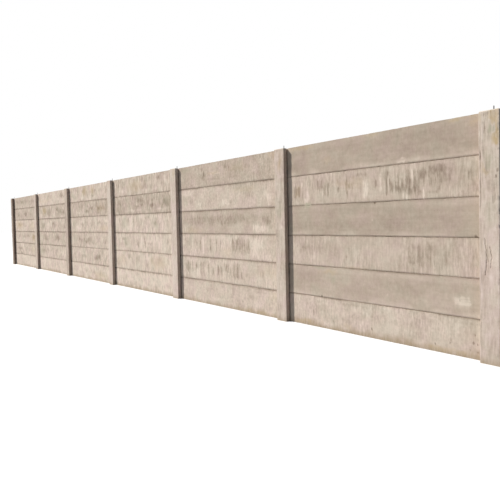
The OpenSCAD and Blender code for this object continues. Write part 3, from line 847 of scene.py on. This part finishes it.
# How much darker each plank is along its top, just under the joint above; 1 unless given here. The
# top plank has no joint above it and is darkened only a little along its top.
UNDER_JOINT_DARKENING = {(6, 5): 0.7, (6, 1): 1.3, (5, 3): 0.8, (4, 5): 0.1, (4, 2): 0.7, (4, 1): 1.2,
         (3, 5): 0.8, (3, 4): 0.6, (3, 3): 0.7, (3, 2): 0.0}
TOP_PLANK_DARKENING = 0.15
# How far down from a plank's top the darkening reaches, and how dark it is at least
LAST_BAY_DARKENING = (0.022, 0.12)
FAR_BAY_DARKENING = (0.034, 0.30)


def past_mortar(bay, course, from_post):
    """How far past the end of the mortar under a plank each place is; under 0 it is in mortar."""
    left, right = MORTAR.get((bay, course), (-1, -1))
    return abs(from_post - 0.5 * (left + right)) - 0.5 * (right - left)


def plank(bay, course, spacing):
    """One plank, its section carved by ripples, chips and holes on its way along the bay."""
    name = f"bay_{bay}_plank_{course}"
    low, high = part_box(name)
    bed, top = (course - 1) * plank_height, course * plank_height
    middle = (low.y + high.y) / 2
    seed = 1000 * bay + 10 * course
    along_spacing, face_spacing, back_spacing = spacing
    corners = plank_outline(low.y, high.y, bed, top, course > 1, course < courses)
    ring = divided(corners, lambda a, b: face_spacing if a[0] == low.y else back_spacing)
    x = np.linspace(low.x, high.x, round((high.x - low.x) / along_spacing))
    along, up = x[:, None], ring[None, :, 1] - bed
    from_post = along - post_x(bay)
    on_back = (ring[:, 0] > middle)[None]
    # the back takes another part of each random pattern
    across = up + 3.1 * on_back
    # wear reaches the two faces and the wall's top, and leaves the bed joints as cast
    showing = (above(abs(ring[:, 0] - middle) / (high.y - low.y), 0.42, 0.46)
               + (course == courses) * (ring[:, 1] >= top - 0.0005)).clip(0, 1)[None]

    lean = np.random.default_rng(seed).uniform(-0.20, 0.20)
    slant = along + lean * up + 0.03 * cloud(along / 0.3, up / 0.2, seed)
    ripple = (0.65 * cloud(slant / 0.019, across / 0.22, seed + 1)
              + 0.35 * cloud(slant / 0.0105, across / 0.09, seed + 2))
    rippled = np.where(on_back, 0.5, RIPPLED[bay][course - 1])
    rippled = rippled * (0.4 + 0.6 * above(cloud(along / 0.30, across / 0.3, seed + 3), 0.25, 0.75))
    arrises = [(y, z) for y in (low.y, high.y) for z in (bed + OPEN_JOINT, top)]
    chips = knocked_arrises(ring, arrises, x, reach=0.014, size=0.05, deepest=0.004, seed=seed + 4)
    swell = cloud(along / 0.45, across / 0.20, seed + 5)
    marks = marked(FACE_MARKS_AND_HOLE_SHADE.get((bay, course), []), from_post, up, seed + 13)
    marks = marks + streaked(FACE_STREAKS.get((bay, course), []), from_post, up, seed + 17)
    stains = marked(FACE_STAINS.get((bay, course), []), from_post, up, seed + 15)
    hole = above(-marks, 1.00, 1.30)
    carved = showing * (chips + RIPPLE_DEPTH * rippled * ripple + PLANK_SWELL * swell
                        + HOLE_DEPTH * hole)
    points = ring[None] + inward(ring)[None] * carved[..., None]
    # mortar brings the open joint's points out to just behind the face and above the bed
    hair = 0.001
    filled = above(-past_mortar(bay, course, from_post), 0, 0.01)[..., None]
    open_face = ((ring[:, 0] > low.y + hair) & (ring[:, 0] < low.y + BEVEL_DEPTH + OPEN_DEPTH + hair)
                 & (ring[:, 1] > bed + hair) & (ring[:, 1] < bed + OPEN_JOINT + hair))[None, :, None]
    points = points + filled * open_face * ((low.y + hair, bed + hair) - points)
    sections = np.dstack([np.broadcast_to(along, points.shape[:2]), points])

    tone = PALENESS[bay][course - 1] + drift(0.12, along / 0.30, across / 0.12, seed + 7)
    # the hollows between ripples hold dirt
    tone = tone + rippled * 0.14 * (0.5 - ripple)
    # the ground plank is the most blotched
    blotched = 0.45 if course == 1 else 0.3
    tone = tone + drift(blotched * 0.22, along / 0.045, across / 0.040, seed + 8)
    tone = tone + drift(blotched * 0.26, along / 0.017, across / 0.019, seed + 9)
    # each plank is darker along its top, just under the joint above, except where mortar fills that joint
    reach, least = LAST_BAY_DARKENING if bay == bays else FAR_BAY_DARKENING
    under_joint = above(past_mortar(bay, course + 1, from_post), -0.01, 0.01)
    under_joint = under_joint * above(up, top - bed - reach, top - bed)
    under_joint = under_joint * UNDER_JOINT_DARKENING.get((bay, course), TOP_PLANK_DARKENING if course == courses else 1.0)
    tone = tone - under_joint * (least + 0.35 * cloud(along / 0.25, 0, seed + 12))
    # rain has washed a smooth face paler along its foot and its top
    if RIPPLED[bay][course - 1] < SMOOTH:
        washed = 0.08 * cloud(along / 0.20, 0, seed + 10)
        tone = tone + 0.14 * above(washed - up, -0.02, 0.04) + 0.08 * above(up, 0.30, 0.36)
    splash = 0.03 + 0.07 * cloud(along / 0.09, 0, seed + 11)

    piece = cast_solid(name, sections, {
        "tone": tone,
        "rippled": rippled,
        "mottled": MOTTLED[bay][course - 1],
        "mark": np.where(on_back, 0, marks),
        "lot": bay * 0.61 + course * 0.23,
        "earth": np.clip(1.2 - up / splash, 0, 1) * (course == 1),
        "stain": np.where(on_back, 0, stains),
    })
    piece.data.materials.append(plank_concrete)
    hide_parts(name)
    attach(piece, "root")


for bay in range(1, bays + 1):
    spacing = {bays: LAST_BAY_SPACING, bays - 1: NEXT_BAY_SPACING}.get(bay, FAR_BAY_SPACING)
    for course in range(1, courses + 1):
        plank(bay, course, spacing)

# -------------------------------------------------------------- head bars
# A ribbed steel bar is cast into each post and stands two or three fingers' width out of the
# head, sawn off square. It has rusted dark.

BAR_SIDES = 14
RIB_PITCH = 0.006
RINGS_TO_A_RIB = 4


def rusted_steel(name):
    """Rust in a fine dark and brown speckle."""
    material, add = recipe(name)
    place = add("TexCoord").outputs["Object"]
    scale = add("TexNoise", {"Vector": place, "Scale": 420.0, "Detail": 5.0}).outputs["Fac"]
    rust = ramp(add, scale, [(0.35, linear(30, 26, 25)), (0.70, linear(78, 54, 42))])
    bump = add("Bump", {"Height": scale, "Distance": 0.0004, "Strength": 0.8})
    surface = add("BsdfPrincipled", {"Base Color": rust, "Normal": bump.outputs["Normal"],
                                     "Metallic": 0.25, "Roughness": 0.78})
    add("OutputMaterial", {"Surface": surface.outputs["BSDF"]})
    return material


def ribbed_bar(name, centre_x, radius, foot, end):
    """A bar whose rib winds up round it, once in each pitch."""
    turn = np.linspace(0, 2 * math.pi, BAR_SIDES, endpoint=False)
    z = np.linspace(foot, end, round((end - foot) / RIB_PITCH * RINGS_TO_A_RIB) + 1)[:, None]
    rib = 0.5 + 0.5 * np.cos(2 * math.pi * z / RIB_PITCH + turn[None])
    out = radius * (0.90 + 0.10 * above(rib, 0.5, 0.9))
    return cast_solid(name, np.dstack([centre_x + out * np.cos(turn), out * np.sin(turn),
                                       np.broadcast_to(z, out.shape)]), {})


low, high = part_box("head_bars")
bars = [ribbed_bar(f"bar_{number}", post_x(number), (high.y - low.y) / 2, low.z, high.z)
        for number in posts]
head_bars = bars[0]
with bpy.context.temp_override(active_object=head_bars, selected_editable_objects=bars):
    bpy.ops.object.join()
head_bars.name = "head_bars_ribbed"
head_bars.data.materials.append(rusted_steel("bar_steel"))
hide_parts("head_bars")
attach(head_bars, "root")

# ------------------------------------------------------ floor and lighting
# A wide pale floor, one warm-white key from the left front like a low afternoon sun, and a soft
# fill from all round and from behind.

FLOOR_HALF = 90.0
mesh = bpy.data.meshes.new("floor")
mesh.from_pydata([(-FLOOR_HALF, -FLOOR_HALF, 0), (FLOOR_HALF, -FLOOR_HALF, 0),
                  (FLOOR_HALF, FLOOR_HALF, 0), (-FLOOR_HALF, FLOOR_HALF, 0)], [], [(0, 1, 2, 3)])
floor = placed("floor", mesh)


def seen_directly(add):
    """1 for what the camera sees, also in a reflection or through glass, and 0 for soft light."""
    path = add("LightPath")
    either = add("Math", {0: path.outputs["Is Camera Ray"], 1: path.outputs["Is Glossy Ray"]},
                 operation="MAXIMUM").outputs[0]
    return add("Math", {0: either, 1: path.outputs["Is Transmission Ray"]},
               operation="MAXIMUM").outputs[0]


material, add = recipe("floor_paint")
speck = add("TexNoise", {"Vector": add("TexCoord").outputs["Object"], "Scale": 40.0}).outputs["Fac"]
shown = add("MapRange", {"Value": speck, "To Min": 0.93, "To Max": 0.99}).outputs[0]
seen = add("BsdfDiffuse", {"Color": shown})
unseen = add("BsdfDiffuse", {"Color": linear(85, 86, 90)})
mixed = add("MixShader", {0: seen_directly(add), 1: unseen.outputs[0], 2: seen.outputs[0]})
add("OutputMaterial", {"Surface": mixed.outputs[0]})
floor.data.materials.append(material)

world = bpy.data.worlds.new("studio")
bpy.context.scene.world = world
world.use_nodes = True
add = shader_nodes(world.node_tree)
soft = add("Background", {"Color": (0.66, 0.84, 1.06, 1.0), "Strength": 0.21})
white = add("Background", {"Color": (1.0, 1.0, 1.0, 1.0), "Strength": 1.0})
mixed = add("MixShader", {0: seen_directly(add), 1: soft.outputs[0], 2: white.outputs[0]})
add("OutputWorld", {"Surface": mixed.outputs[0]})


def sun(name, travels, strength, spread, colour=(1.0, 1.0, 1.0)):
    """A far lamp whose light travels along the given direction."""
    lamp = bpy.data.lights.new(name, "SUN")
    lamp.color = colour
    lamp.energy = strength
    lamp.angle = math.radians(spread)
    placed(name, lamp).rotation_euler = Vector(travels).to_track_quat("-Z", "Y").to_euler()


sun("key", (0.583, 0.530, -0.616), strength=4.08, spread=3.0, colour=(1.0, 0.980, 0.950))
sun("front_fill", (0.05, 0.90, -0.40), strength=0.55, spread=50.0)
sun("back_fill", (0.35, -0.75, -0.56), strength=1.6, spread=40.0)

# ----------------------------------------------------------------- camera
# A camera at eye height, close to the right-hand post, that looks left along the wall. It is
# tipped down and rolled a degree or two, as one held by hand is.

EYE = (11.523, -4.871, 1.416)
TURNED_LEFT = 52.491
TIPPED_DOWN = 1.870
ROLLED = -1.212

camera = bpy.data.cameras.new("camera")
camera.sensor_width = 36.0
camera.lens = 37.6128
camera.shift_y = -0.0250
camera.clip_end = 500.0
viewer = placed("camera", camera)
viewer.matrix_world = (Matrix.Translation(EYE)
                       @ Matrix.Rotation(math.radians(TURNED_LEFT), 4, "Z")
                       @ Matrix.Rotation(math.radians(90 - TIPPED_DOWN), 4, "X")
                       @ Matrix.Rotation(math.radians(ROLLED), 4, "Z"))
bpy.context.scene.camera = viewer
bpy.context.scene.view_settings.view_transform = "Standard"
